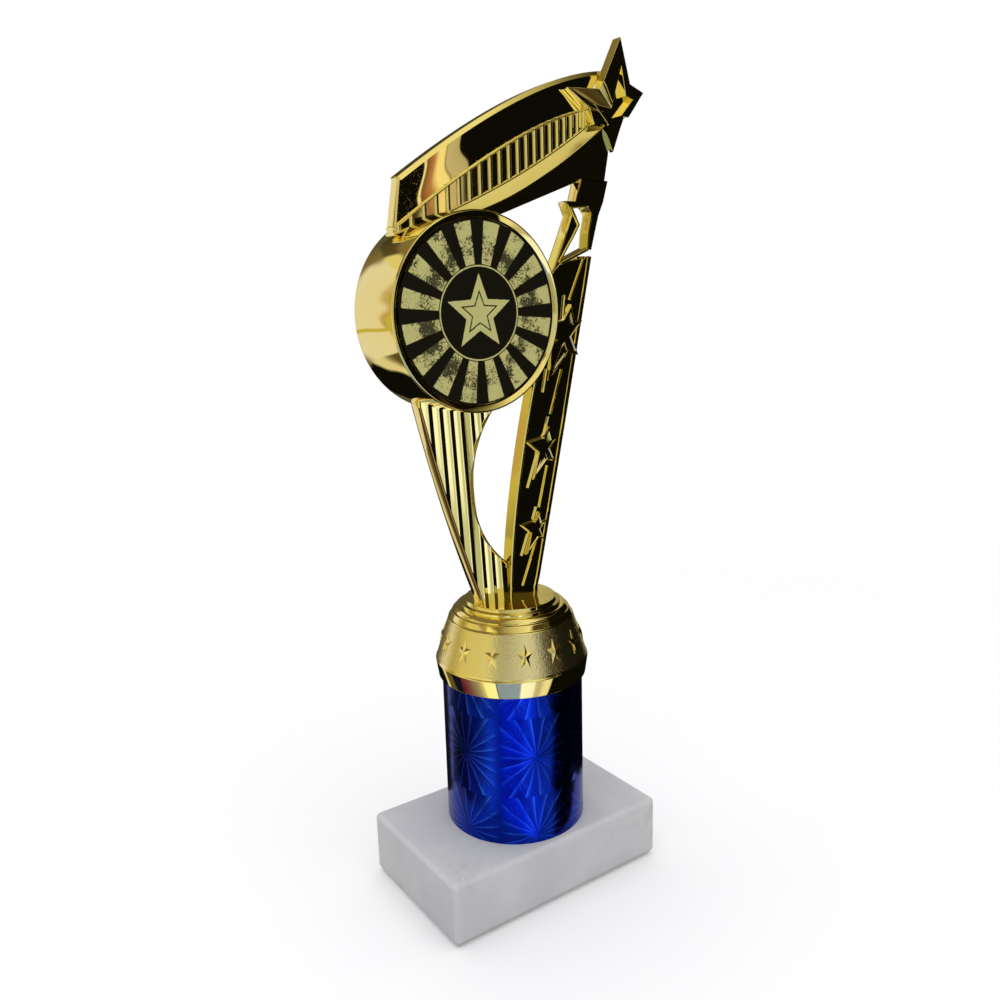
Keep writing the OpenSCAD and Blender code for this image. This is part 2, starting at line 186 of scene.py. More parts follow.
def quads(rows, columns, wrap_rows=False, wrap_columns=False):
    """Faces of a grid of points, as corner numbers; a wrapped direction joins its end to its start."""
    r = np.arange(rows if wrap_rows else rows - 1)[:, None]
    c = np.arange(columns if wrap_columns else columns - 1)[None, :]
    r1, c1 = (r + 1) % rows, (c + 1) % columns
    corners = [r * columns + c, r * columns + c1, r1 * columns + c1, r1 * columns + c]
    return np.stack(np.broadcast_arrays(*corners), axis=-1).reshape(-1, 4)


def end_caps(rows, columns):
    """Faces that close both ends of a tube of an even number of columns, folded across its middle."""
    i = np.arange(columns // 2 - 1)
    first = np.stack([i, columns - 1 - i, columns - 2 - i, i + 1], axis=-1)
    return np.vstack([first, first[:, ::-1] + (rows - 1) * columns])


def tube_of(rings):
    """Vertices and faces of a closed tube through rings of points, an array (rows, columns, 3)."""
    rows, columns = rings.shape[:2]
    return rings.reshape(-1, 3), np.vstack([quads(rows, columns, wrap_columns=True), end_caps(rows, columns)])


def joined(parts):
    """Several (vertices, faces) pairs as one."""
    counts = np.cumsum([0] + [len(v) for v, _ in parts[:-1]])
    return np.vstack([v for v, _ in parts]), np.vstack([f + n for (_, f), n in zip(parts, counts)])


def upright(flat, y):
    """Points (x, h) of the figure's plane at depth y."""
    return np.stack([flat[..., 0], np.broadcast_to(y, flat.shape[:-1]), flat[..., 1] + FIGURE_Z], axis=-1)


def slab(low, high, front, back, across=2):
    """A plate between two curves of equal count: straight lines join them, v running from low (0) to
    high (1). front and back give y, as a number or a function of the flat points and v."""
    v = np.linspace(0, 1, across)[None, :, None]
    flat = low[:, None] * (1 - v) + high[:, None] * v
    y0 = front(flat, v[..., 0]) if callable(front) else front
    y1 = back(flat, v[..., 0]) if callable(back) else back
    return tube_of(np.concatenate([upright(flat, y0), upright(flat, y1)[:, ::-1]], axis=1))


def plate(low, high, count, front, back, across=2):
    """A slab between two curves that first get count points each."""
    return slab(resample(low, count), resample(high, count), front, back, across)


def across_path(path):
    """Mitred normals of a path in the plane: the sum of the two edges' normals over 1 + their product."""
    edge = np.diff(path, axis=0)
    normal = np.stack([-edge[:, 1], edge[:, 0]], axis=1) / np.linalg.norm(edge, axis=1)[:, None]
    before, after = np.vstack([normal[:1], normal]), np.vstack([normal, normal[-1:]])
    blend = 1 + (before * after).sum(1, keepdims=True)
    return (before + after) / np.maximum(blend, 0.45)


def rod(path, width, half, squareness=1.0, sides=16, y=0.0):
    """A bar carried along a path of the plane. Its section is x = w/2 cos^p, y = half sin^p, which is an
    ellipse for p = 1 and nears a rounded rectangle as p falls."""
    angle = (np.arange(sides) + 0.5) / sides * 2 * math.pi
    c, s = np.cos(angle), np.sin(angle)
    side = np.sign(c) * np.abs(c) ** squareness * width / 2
    depth = np.sign(s) * np.abs(s) ** squareness * half
    flat = path[:, None] + across_path(path)[:, None] * side[None, :, None]
    rings = upright(flat, y + np.broadcast_to(depth, flat.shape[:-1]))
    order = np.roll(np.arange(sides), -sides // 4)
    return tube_of(rings[:, order])


def relief(outline, centre, profile, per_edge=5):
    """A shape whose sections are one outline at several scales: profile lists (scale, y) from the middle of
    the front round to the middle of the back."""
    ring = densify(outline, per_edge)
    scale = np.array([p[0] for p in profile])[:, None, None]
    y = np.array([p[1] for p in profile])[:, None]
    flat = np.array(centre) + scale * ring[None]
    grid = upright(flat, np.broadcast_to(y, flat.shape[:-1]))
    return grid.reshape(-1, 3), quads(len(profile), len(ring), wrap_columns=True)[:, ::-1]


def rounded(profile, radius, steps=4, closed=True):
    """A profile whose corners become short curves that start radius away from each corner."""
    before, after = np.roll(profile, 1, axis=0), np.roll(profile, -1, axis=0)
    out = []
    for i, corner in enumerate(profile):
        if not closed and i in (0, len(profile) - 1):
            out.append(corner[None])
            continue
        arms = [other[i] - corner for other in (before, after)]
        lengths = [np.linalg.norm(arm) for arm in arms]
        a, b = (corner + arm / d * min(radius, 0.4 * d) for arm, d in zip(arms, lengths))
        out.append(bend(a, corner, b, steps))
    return np.vstack(out)


def lathe(profile, turns=192, closed=True, centre=(0, 0), lying=False):
    """A profile of (radius, height) turned about an axis: x = r sin a, y = -r cos a. A lying one turns about
    a line along Y, and its height is y."""
    a = np.arange(turns) / turns * 2 * math.pi
    r, h = profile[:, 0][:, None], profile[:, 1][:, None] + 0 * a
    u, v = r * np.sin(a), r * np.cos(a)
    if lying:
        grid = np.stack([centre[0] + u, h, centre[1] + v], axis=-1)
    else:
        grid = np.stack([centre[0] + u, centre[1] - v, h], axis=-1)
    return grid.reshape(-1, 3), quads(len(profile), turns, wrap_rows=closed, wrap_columns=True)


def rounded_block(low, high, radius, cells=(40, 26, 12)):
    """The six faces of a box whose edges and corners are rounded: each point of the box's surface is drawn
    back to the inner box, then pushed out by the radius along the line between them."""
    half, middle = (high - low) / 2, (high + low) / 2
    parts = []
    for axis in range(3):
        others = [k for k in range(3) if k != axis]
        lines = []
        for k in others:
            edge = np.linspace(0, radius, 6)[:-1]
            inner = np.linspace(radius, 2 * half[k] - radius, cells[k])
            lines.append(np.concatenate([edge, inner, 2 * half[k] - edge[::-1]]) - half[k])
        for side in (-1, 1):
            u, v = np.meshgrid(*lines, indexing="ij")
            p = np.zeros(u.shape + (3,))
            p[..., others[0]], p[..., others[1]], p[..., axis] = u, v, side * half[axis]
            core = np.clip(p, -(half - radius), half - radius)
            out = p - core
            p = core + radius * out / np.linalg.norm(out, axis=-1, keepdims=True)
            faces = quads(*u.shape)
            if side * (1 if axis != 1 else -1) < 0:
                faces = faces[:, ::-1]
            parts.append((p.reshape(-1, 3) + middle, faces))
    return joined(parts)


# ---- pieces


def mesh_of(name, shape):
    """A mesh object in metres from vertices in millimetres and four-cornered faces."""
    vertices, faces = shape
    mesh = bpy.data.meshes.new(name)
    mesh.from_pydata((vertices * MM).tolist(), [], faces.tolist())
    mesh.update()
    piece = bpy.data.objects.new(name, mesh)
    bpy.context.scene.collection.objects.link(piece)
    return piece


def weld(piece, distance=0.002):
    """Merges points that fall together, as at a pole, drops the faces that vanish, and turns the rest
    outwards."""
    work = bmesh.new()
    work.from_mesh(piece.data)
    bmesh.ops.remove_doubles(work, verts=work.verts, dist=distance * MM)
    bmesh.ops.dissolve_degenerate(work, dist=distance * MM / 10, edges=work.edges)
    bmesh.ops.recalc_face_normals(work, faces=work.faces)
    work.to_mesh(piece.data)
    work.free()


def finished(name, shape, material, slot, *stands_for, bevel=0.0, sharp=32):
    """A piece of the trophy: welded, shaded smooth up to a sharp angle, bevelled and riding on the frame."""
    piece = mesh_of(name, shape)
    weld(piece)
    piece.data.materials.append(material)
    piece.data.shade_smooth()
    if bevel:
        edge = piece.modifiers.new("edges", "BEVEL")
        edge.width = bevel * MM
        edge.segments = 2
        edge.limit_method = "ANGLE"
        edge.angle_limit = math.radians(sharp)
        edge.harden_normals = True
    else:
        piece.data.set_sharp_from_angle(angle=math.radians(sharp))
    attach(piece, "root")
    if stands_for:
        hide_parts(*stands_for)
    return piece


def paint_node(node, material):
    """Gives a frame node its finish."""
    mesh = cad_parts[node].data
    mesh.materials.clear()
    mesh.materials.append(material)


# ---- shader expressions


def operator(operation, swapped=False):
    """A method that joins a value and another one by a Math node, in turned order if swapped."""
    def join(self, other):
        terms = (other, self) if swapped else (self, other)
        return self.paint.math(operation, *terms)

    return join


class Value:
    """An output socket that adds up: each operator adds one Math node to its tree."""

    def __init__(self, paint, socket):
        self.paint, self.socket = paint, socket

    __add__ = __radd__ = operator("ADD")
    __mul__ = __rmul__ = operator("MULTIPLY")
    __sub__, __rsub__ = operator("SUBTRACT"), operator("SUBTRACT", swapped=True)
    __truediv__ = operator("DIVIDE")


class Paint:
    """The node tree of a material or of the world, written as expressions."""

    def __init__(self, tree):
        self.tree = tree
        tree.nodes.clear()

    def node(self, kind, settings=None, out=0, **sockets):
        """Adds a shader node: its settings first, then the values or links of its sockets, whose names are
        written with _ for a space or as _N for socket number N. Gives the output named or numbered out."""
        made = self.tree.nodes.new("ShaderNode" + kind)
        for key, value in (settings or {}).items():
            if key == "stops":
                ramp = made.color_ramp.elements
                for i, (at, colour) in enumerate(value):
                    stop = ramp[i] if i < 2 else ramp.new(at)
                    stop.position = at
                    stop.color = (*colour, 1) if len(colour) == 3 else colour
            else:
                setattr(made, key, value)
        for key, value in sockets.items():
            plain = key.replace("_", " ").strip()
            socket = made.inputs[int(plain)] if plain.isdigit() else made.inputs[plain]
            if isinstance(value, Value):
                self.tree.links.new(value.socket, socket)
            else:
                if socket.type == "RGBA" and len(value) == 3:
                    value = (*value, 1)
                socket.default_value = value
        return Value(self, made.outputs[out]) if made.outputs else made

    def math(self, operation, *terms):
        """A Math node on some terms."""
        return self.node("Math", {"operation": operation}, **{f"_{i}": t for i, t in enumerate(terms)})

    def step(self, value, start, end):
        """0 before start, 1 after end, smooth between."""
        settings = {"interpolation_type": "SMOOTHSTEP"}
        return self.node("MapRange", settings, Value=value, From_Min=start, From_Max=end)

    def between(self, value, start, full, fade, end):
        """0 up to start, 1 from full to fade, and 0 again from end."""
        return self.step(value, start, full) * (1 - self.step(value, fade, end))

    def mix(self, factor, a, b):
        """Colours a and b mixed by factor."""
        return self.node("Mix", {"data_type": "RGBA"}, out=2, _0=factor, _6=a, _7=b)

    def moved(self, vector, way, share):
        """A vector moved by a share of another one."""
        return self.node("VectorMath", {"operation": "MULTIPLY_ADD"}, _0=way, _1=(share,) * 3, _2=vector)

    def place(self, x=0.0, z=0.0):
        """Object coordinates in millimetres, counted from x and z."""
        return self.moved((-x, 0, -z), self.node("TexCoord", out="Object"), 1 / MM)

    def split(self, vector):
        """The x, y and z of a vector."""
        return [Value(self, part) for part in self.node("SeparateXYZ", _0=vector).socket.node.outputs]

    def noise(self, vector, scale, detail=3.0, roughness=0.55, out=0):
        return self.node("TexNoise", out=out, Vector=vector, Scale=scale, Detail=detail, Roughness=roughness)

    def bump(self, height, strength, distance=0.1 * MM):
        return self.node("Bump", Height=height, Strength=strength, Distance=distance)

    def surface(self, **sockets):
        """A Principled surface as the material's output."""
        shader = self.node("BsdfPrincipled", **sockets)
        self.node("OutputMaterial", Surface=shader)


def material(name):
    """A new material and the Paint that fills it."""
    made = bpy.data.materials.new(name)
    made.use_nodes = True
    return made, Paint(made.node_tree)


# ---- finishes


GOLD = (0.95, 0.82, 0.29)


@cache
def mirror_gold():
    """Metallised plastic: a yellow mirror with the faint waves of a moulding, and a few dull specks."""
    made, p = material("mirror_gold")
    spot = p.place()
    waves = p.noise(spot, 0.11, 1.0)
    dust = p.step(p.noise(spot, 2.6, 4.0, 0.7), 0.66, 0.78)
    tint = p.mix(p.noise(spot, 0.05, 2.0), GOLD, (0.92, 0.78, 0.25))
    p.surface(Base_Color=tint, Metallic=1.0, Roughness=dust * 0.12 + 0.035,
              Normal=p.bump(waves, 0.12, 0.2 * MM))
    return made


@cache
def clear_gold():
    """The flattest mirror face of the moulding: sharp, with a few fine scratches and dull flecks."""
    made, p = material("clear_gold")
    spot = p.place()
    scratch = p.step(p.math("ABSOLUTE", p.noise(spot, 0.5, 2.0) - 0.5), 0.006, 0.0)
    fleck = p.step(p.noise(spot, 1.9, 4.0, 0.7), 0.69, 0.76)
    worn = (scratch * 0.5 + fleck) * p.step(p.split(spot)[0], -22, -30)
    p.surface(Base_Color=GOLD, Metallic=1.0, Roughness=worn * 0.3 + 0.012)
    return made


@cache
def riser_gold():
    """The same mirror gold, but the cone between the skirt and the steps has a fine grained satin face."""
    made, p = material("riser_gold")
    spot = p.place()
    height = p.split(spot)[2] - RISER_LOW[2]
    satin = p.between(height, 6.0, 6.35, 18.85, 19.1)
    grain = p.noise(spot, 1.6, 3.0, 0.6)
    tint = p.mix(satin, GOLD, (0.92, 0.80, 0.34))
    height_map = grain * satin + p.noise(spot, 0.12, 1.0) * 0.3
    p.surface(Base_Color=tint, Metallic=1.0, Roughness=satin * 0.15 + 0.04,
              Normal=p.bump(height_map, 0.6, 0.16 * MM))
    return made


@cache
def emblem_print():
    """A brushed pale gold disc printed in black: sixteen rays with worn print, a thin ring and a star inside
    a star. r is the distance from the middle, and a star's edge is where r (cos f + k sin f) is constant,
    with f the angle folded into a tenth of a turn."""
    made, p = material("emblem_print")
    spot = p.place(DRUM_X, DRUM_Z)
    wobble = 0.35
    x, _, z = p.split(p.moved(spot, p.noise(spot, 1.6, 3.0, 0.6, out="Color"), wobble))
    x, z = x - wobble / 2, z - wobble / 2
    r = p.math("SQRT", x * x + z * z)
    turn = p.math("ARCTAN2", x, z) / (2 * math.pi)

    def fold(count):
        """Distance of the angle from the middle of its sector, in turns."""
        share = p.math("FRACT", turn * count + 0.5 + count)
        return p.math("ABSOLUTE", share - 0.5) / count

    ray = p.step(fold(16) * 2 * math.pi * r, r * 0.088 - 0.12, r * 0.088 + 0.12)
    rays = ray * p.between(r, 13.1, 13.3, 24.5, 24.7)
    ring = p.between(r, 12.45, 12.6, 12.85, 13.0)
    f = fold(5) * (2 * math.pi)
    star = r * (p.math("COSINE", f) + p.math("SINE", f) * 2.55)
    outer = p.between(star, 6.35, 6.5, 10.7, 10.85)
    inner = 1 - p.step(star, 5.35, 5.5)
    speck = p.noise(spot, 2.2, 5.0, 0.75)
    patch = p.step(p.noise(spot, 0.16, 2.0), 0.42, 0.62)
    middle = p.between(r, 13.5, 16.5, 18.5, 22)
    worn = p.step(speck + patch * 0.13 + middle * 0.11, 0.60, 0.66)
    gold = p.math("MAXIMUM", p.math("MAXIMUM", outer, inner), ring)
    shown = p.math("MAXIMUM", rays * (1 - worn * 0.92), gold)
    fine = p.noise(spot, 5.0, 2.0)
    pale = p.mix(fine, (0.43, 0.40, 0.13), (0.63, 0.60, 0.25))
    p.surface(Base_Color=p.mix(shown, (0.006, 0.005, 0.001), pale), Metallic=shown * 0.15,
              Roughness=0.55 - shown * 0.12, Specular_IOR_Level=0.12,
              Normal=p.bump(shown + fine * 0.3, 0.25, 0.05 * MM))
    return made


@cache
def blue_foil():
    """Mirror foil pressed with bursts of rays. The sleeve's map gives the distance round the column and the
    height in millimetres; each square tile has one large burst in its middle and small ones beside it. Its
    colour also holds painted reflection: each ray is a darker or brighter blue, brighter towards its crest,
    with a painted pale highlight along the crest."""
    made, p = material("blue_foil")
    mapped = p.node("UVMap", {"uv_map": "sleeve"})
    along, up, _ = p.split(p.node("VectorMath", {"operation": "SCALE"}, _0=mapped, Scale=1000.0))

    def burst(wide, tall, x0, z0, rays):
        """Rays from the middle of each tile: sawtooth across a ray, a random tone for each ray that serves as
        the painted reflection of its facet, distance from the middle, and 1 near the tile's left and right
        edge."""
        across, rise = (along - x0) / wide + 20.5, (up - z0) / tall + 20.5
        u = (p.math("FRACT", across) - 0.5) * wide
        v = (p.math("FRACT", rise) - 0.5) * tall
        reach = p.math("SQRT", u * u + v * v)
        turn = p.math("ARCTAN2", u, v) / (2 * math.pi) * rays + p.noise(mapped, 60.0, 1.0) * 0.5
        tile = p.math("FLOOR", across) * 31 + p.math("FLOOR", rise) * 17
        tone = p.node("TexWhiteNoise", {"noise_dimensions": "1D"}, W=p.math("FLOOR", turn) + tile)
        rim = p.step(p.math("ABSOLUTE", u), wide * 0.36, wide * 0.5)
        return p.math("FRACT", turn), tone, reach, rim

    saw, tone, reach, rim = burst(23.2, 26.0, -7.0, 50.0, 18)
    small, small_tone, near, _ = burst(11.6, 13.0, -1.2, 56.5, 12)
    zone = p.step(near, 4.8, 3.0) * p.step(reach, 7.5, 10.5) * 0.55
    height = p.math("POWER", saw, 3.0) * reach * 0.1 * (1 - zone)
    height = height + p.math("POWER", small, 3.0) * near * zone * 0.12
    # Pale lines along the crests of the rays: a painted highlight in the colour, and a little rougher too.
    line = p.math("POWER", saw, 9.0) * (1 - zone) + p.math("POWER", small, 6.0) * zone * 0.7
    line = line * p.step(reach, 0.2, 2.5) * (1 - rim)
    height = height * (1 - rim)
    # Painted reflection: each ray gets its own brightness, which grows across the ray towards its crest and
    # evens out near the tile's left and right edge.
    shade = (tone * (1 - zone) + small_tone * zone) * (1 - rim) + rim * 0.35
    shade = shade * (0.45 + p.math("POWER", saw, 2.0) * 0.55)
    # The foil's blue, darker or brighter by the painted reflection, with the painted crest highlight over it.
    tint = p.mix(shade, (0.002, 0.013, 0.24), (0.005, 0.035, 0.66))
    tint = p.mix(line * 0.9, tint, (0.03, 0.16, 1.0))
    p.surface(Base_Color=tint, Metallic=1.0, Roughness=0.2 + line * 0.1, Normal=p.bump(height, 0.5, 0.2 * MM))
    return made


@cache
def white_marble():
    """Honed white marble: broad grey clouds, thin grey veins, whiter worn edges and a fine grain."""
    made, p = material("white_marble")
    spot = p.place()
    cloud = p.noise(spot, 0.035, 4.0, 0.6)
    bent = p.moved(spot, p.noise(spot, 0.05, 3.0, out="Color"), 26)
    vein_line = p.math("ABSOLUTE", p.noise(bent, 0.03, 2.0) - 0.5)
    vein = (1 - p.step(vein_line, 0.0, 0.02)) * p.step(cloud, 0.45, 0.7)
    grain = p.noise(spot, 1.4, 4.0, 0.6)
    base = p.mix(p.step(cloud, 0.35, 0.68), (0.50, 0.50, 0.53), (0.57, 0.565, 0.57))
    base = p.mix(vein * 0.25, base, (0.39, 0.39, 0.42))
    corner = p.node("VectorMath", {"operation": "DISTANCE"}, out="Value", _0=bent,
                    _1=(BLOCK_LOW[0] + 19, BLOCK_LOW[1] + 16, BLOCK_HIGH[2] + 12))
    stain = (1 - p.step(corner, 3.0, 8.0)) * p.step(p.noise(spot, 0.5, 4.0, 0.6), 0.4, 0.65)
    base = p.mix(stain * 0.5, base, (0.43, 0.40, 0.35))
    edge = p.node("NewGeometry", out="Pointiness")
    worn = p.step(edge, 0.505, 0.53) * (0.5 + grain * 0.5)
    base = p.mix(worn * 0.3, base, (0.68, 0.67, 0.66))
    p.surface(Base_Color=base, Roughness=0.34 + grain * 0.14, Normal=p.bump(grain, 0.12, 0.05 * MM),
              Subsurface_Weight=0.06, Subsurface_Radius=(0.002, 0.002, 0.002))
    return made


@cache
def plain_finish(name, colour, other, metallic, rough, grain, strength):
    """A finish whose two colours mix by a grain of one size, with the same grain as its relief."""
    made, p = material(name)
    noise = p.noise(p.place(), grain, 4.0, 0.65)
    p.surface(Base_Color=p.mix(noise, colour, other), Metallic=metallic, Roughness=rough + noise * 0.12,
              Normal=p.bump(noise, strength, 0.15 * MM))
    return made


# ---- settings


def length(name, description, usual, least):
    """A length setting, given in millimetres."""
    return bpy.props.FloatProperty(name=name, description=description, default=usual * MM, min=least * MM,
                                   unit="LENGTH", subtype="DISTANCE")


class TrophyShape(bpy.types.PropertyGroup):
    """Sizes that the frame leaves open."""

    rim_width: length("Rim width", "Width of the rims around the panels", 1.2, 0.5)
    rib_width: length("Wing rib width", "Width of the ribs in the wing's band", 1.8, 0.5)
    rib_count: bpy.props.IntProperty(
        name="Wing ribs", description="Number of ribs in the wing's band", default=21, min=3)
    fan_rib_width: length("Fan rib width", "Width of the ribs of the fan", 3.1, 0.5)
    block_round: length("Block rounding", "Radius of the marble block's edges", 1.6, 0.3)
    edge_round: length("Edge rounding", "Width of the small bevels on the figure", 0.22, 0.05)
    band_stars: bpy.props.IntProperty(
        name="Riser stars", description="Number of raised stars round the riser", default=14, min=3)


class TrophyStage(bpy.types.PropertyGroup):
    """What surrounds the trophy."""

    floor_colour: bpy.props.FloatVectorProperty(
        name="Floor", description="Colour of the floor", subtype="COLOR", default=(0.88, 0.88, 0.88))
    soft_light: bpy.props.FloatProperty(
        name="Soft light", description="Strength of the light from all sides", default=0.72, min=0.0)
    key_power: bpy.props.FloatProperty(
        name="Key light", description="Power of the light above", default=2.6, min=0.0, unit="POWER")


def shape():
    """The trophy's sizes, as set in the sidebar."""
    return bpy.context.scene.trophy_shape


class TrophyOperator:
    """What the operators have in common."""

    bl_options = {"REGISTER", "UNDO"}

    def execute(self, context):
        self.build(context)
        return {"FINISHED"}


# ---- stage


def camera(context):
    """The viewpoint: at the left, a little below the top of the trophy, looking right and down."""
    data = bpy.data.cameras.new("view")
    data.lens, data.sensor_width, data.clip_start = VIEW_LENS, 36, 0.01
    yaw, pitch, roll = (math.radians(a) for a in VIEW_TURN)
    ahead = np.array([math.sin(yaw) * math.cos(pitch), math.cos(yaw) * math.cos(pitch), -math.sin(pitch)])
    right = np.array([math.cos(yaw), -math.sin(yaw), 0])
    up = np.cross(right, ahead)
    side = math.cos(roll) * right + math.sin(roll) * up
    top = -math.sin(roll) * right + math.cos(roll) * up
    seat = bpy.data.objects.new("view", data)
    context.scene.collection.objects.link(seat)
    turned = np.stack([side, top, -ahead], axis=1)
    seat.matrix_world = Matrix.Translation(VIEW_PLACE) @ Matrix(turned.tolist()).to_4x4()
    context.scene.camera = seat


def studio_world(context):
    """White for the eye, even light for dull surfaces, and for mirrors a room in five belts, each a ramp of
    colours round the compass: 0 is behind the trophy, 90 at its right and 180 in front of it."""
    world = bpy.data.worlds.new("studio")
    world.use_nodes = True
    context.scene.world = world
    p = Paint(world.node_tree)
    way = p.node("TexCoord", out="Generated")
    x, y, z = p.split(way)
    sway = (p.noise(way, 5.0, 1.0) - 0.5) * 0.035 * p.step(y, 0.0, 0.4)
    turn = p.math("ARCTAN2", x, y) / (2 * math.pi) + 0.5 + sway
    rise = p.math("ARCSINE", z) * (180 / math.pi) + sway * 70

    def belt(*stops):
        """A ramp round the compass: (direction in degrees, colour), from -180 to 180."""
        placed = tuple(((degrees + 180) / 360, colour) for degrees, colour in stops)
        return p.node("ValToRGB", {"stops": placed}, Fac=turn)

    dark, olive, dusk = (0.004, 0.004, 0.003), (0.22, 0.17, 0.09), (0.006, 0.006, 0.03)
    pearl, sand, cream, ice = (0.68, 0.68, 0.76), (0.6, 0.55, 0.4), (0.9, 0.85, 0.7), (1.0, 1.05, 1.5)
    back = ((-60, (0.72, 0.6, 0.3)), (-44, (0.34, 0.3, 0.13)), (-39.5, (0.4, 0.35, 0.13)),
            (-37.5, (0.62, 0.55, 0.17)), (-36, (0.6, 0.48, 0.16)), (-34.6, (0.5, 0.33, 0.15)),
            (-32, (0.8, 0.75, 0.8)), (-16, (0.8, 0.77, 0.88)), (-12, olive), (10, (0.1, 0.085, 0.05)),
            (34, (0.12, 0.1, 0.06)), (40, (0.5, 0.46, 0.3)), (50, (0.24, 0.2, 0.12)), (58, (0.4, 0.36, 0.2)),
            (62, dark), (163, dark))
    upper = belt(
        (-180, pearl), (-150, (0.6, 0.6, 0.64)), (-118, (0.38, 0.37, 0.36)),
        (-114, (0.8, 0.76, 0.5)), (-98, (0.7, 0.64, 0.38)), *back, (168, (0.55, 0.55, 0.6)), (180, pearl))
    waist = belt(
        (-180, (0.4, 0.43, 0.45)), (-175, (0.5, 0.54, 0.56)), (-170.5, (0.6, 0.66, 0.75)),
        (-168.5, (1.1, 1.2, 1.7)), (-164, (1.1, 1.2, 1.7)), (-162, (0.5, 0.54, 0.5)),
        (-146, (0.3, 0.26, 0.2)), (-140, (0.9, 0.9, 0.95)), (-126, (0.3, 0.27, 0.25)),
        (-118, (0.5, 0.48, 0.4)), (-114, (1.0, 0.98, 0.85)), (-98, (0.9, 0.84, 0.6)),
        *back, (168, (0.2, 0.2, 0.16)), (174, (0.36, 0.38, 0.36)), (180, (0.4, 0.43, 0.45)))
    cornice = belt(
        (-180, (0.95, 0.92, 0.8)), (-162, cream), (-158, (0.16, 0.07, 0.03)),
        (-147, (0.05, 0.03, 0.02)), (-131, (0.03, 0.02, 0.01)), (-128, (0.35, 0.1, 0.04)),
        (-120, (0.3, 0.1, 0.04)), (-117, (0.95, 0.9, 0.5)), (-98, (0.95, 0.85, 0.45)),
        (-95, (0.45, 0.33, 0.2)), (-77, (0.4, 0.3, 0.2)), (-74, (0.35, 0.33, 0.33)), (-56, (0.3, 0.29, 0.28)),
        (-53, (0.02, 0.02, 0.01)), (-44, (0.02, 0.02, 0.01)), (-42, (0.8, 0.74, 0.4)),
        (-14, (0.75, 0.7, 0.45)), (-11, (0.1, 0.08, 0.04)), (40, dark), (170, (0.1, 0.05, 0.03)),
        (180, (0.95, 0.92, 0.8)))
    lower = belt(
        (-180, ice), (-160, (1.1, 1.15, 1.7)), (-157, (0.28, 0.39, 1.05)),
        (-121, (0.26, 0.36, 0.95)), (-119.5, (0.05, 0.05, 0.05)), (-118, (1.05, 1.1, 1.0)),
        (-99, (1.0, 1.05, 0.9)), (-97, (0.72, 0.66, 0.4)), (-88, (0.34, 0.3, 0.35)), (-75, (0.2, 0.14, 0.2)),
        (-66, (0.2, 0.05, 0.1)), (-57, (0.12, 0.02, 0.06)), (-54, dusk), (-37, dusk),
        (-35, (0.12, 0.09, 0.04)), (-23, (0.11, 0.085, 0.04)),
        (-20, (0.75, 0.7, 0.6)), (-14, (0.75, 0.7, 0.6)), (-12, dark), (149.6, dark),
        (151, (0.85, 0.8, 0.75)), (160, (0.93, 0.87, 0.85)), (170, (0.55, 0.52, 0.5)),
        (176, (0.6, 0.57, 0.6)), (180, ice))
    roof = belt(
        (-180, cream), (-150, sand), (-120, olive), (20, olive), (45, dark), (120, dark),
        (134, (0.2, 0.18, 0.12)), (150, sand), (160, cream), (180, cream))
    # A narrow lit doorway, with a ramp of its own because it needs finer steps
    door_start, door_width = 147.0, 3.0
    door = p.node("ValToRGB", {"stops": (
        (0.0, dark), (0.03, (0.5, 0.44, 0.42)), (0.3, (0.58, 0.5, 0.5)), (0.33, (0.3, 0.24, 0.16)),
        (0.36, (0.95, 0.8, 0.6)), (0.5, (1.0, 0.85, 0.62)), (0.62, (0.5, 0.24, 0.15)),
        (0.8, (0.2, 0.08, 0.05)), (0.83, (1.0, 0.95, 0.85)), (0.86, (0.9, 0.8, 0.7)), (0.88, dark),
        (1.0, dark))}, Fac=((turn - 0.5) * 360 - door_start) / door_width)
    frontal = p.step(turn, 0.875, 0.885) * p.step(turn, 0.93, 0.92)
    hall = p.mix(frontal, upper, p.mix(p.step(rise, 13.5, 15.5), door, (0.07, 0.06, 0.03)))
    room = p.mix(p.step(rise, -23.2, -22.2), lower, p.mix(p.step(rise, -1, 2), waist, hall))
    line = p.step(rise, -9.7, -9.2) * p.step(rise, -7.4, -7.9) * p.step(turn, 0.36, 0.38)
    room = p.mix(line * p.step(turn, 0.47, 0.46), room, (0.57, 0.5, 0.13))
    room = p.mix(p.step(rise, 26, 27.5), room, cornice)
    room = p.mix(p.step(rise, 30.5, 33), room, roof)
    room = p.mix(p.step(rise, -50, -62), room, (0.03, 0.025, 0.015))
    soft = bpy.context.scene.trophy_stage.soft_light
    below, above = (tuple(soft * c for c in tone) for tone in ((0.6, 0.6, 0.56), (1.5, 1.5, 1.54)))
    sky = p.mix(p.step(z, -0.2, 0.9), below, above)
    even = p.mix(p.node("LightPath", out="Is Camera Ray"), sky, (1.0, 1.0, 1.0))
    shown = p.mix(p.node("LightPath", out="Is Glossy Ray"), even, room)
    p.node("OutputWorld", Surface=p.node("Background", Color=shown))


def key_light(context):
    """A broad light overhead that mirrors don't see."""
    data = bpy.data.lights.new("key", "AREA")
    data.shape, data.size, data.size_y = "RECTANGLE", 0.9, 0.9
    data.energy = context.scene.trophy_stage.key_power
    lamp = bpy.data.objects.new("key", data)
    lamp.matrix_world = Matrix.Translation((-0.15, -0.1, 0.95)) @ Matrix.Rotation(0.18, 4, "Y")
    lamp.visible_glossy = False
    context.scene.collection.objects.link(lamp)


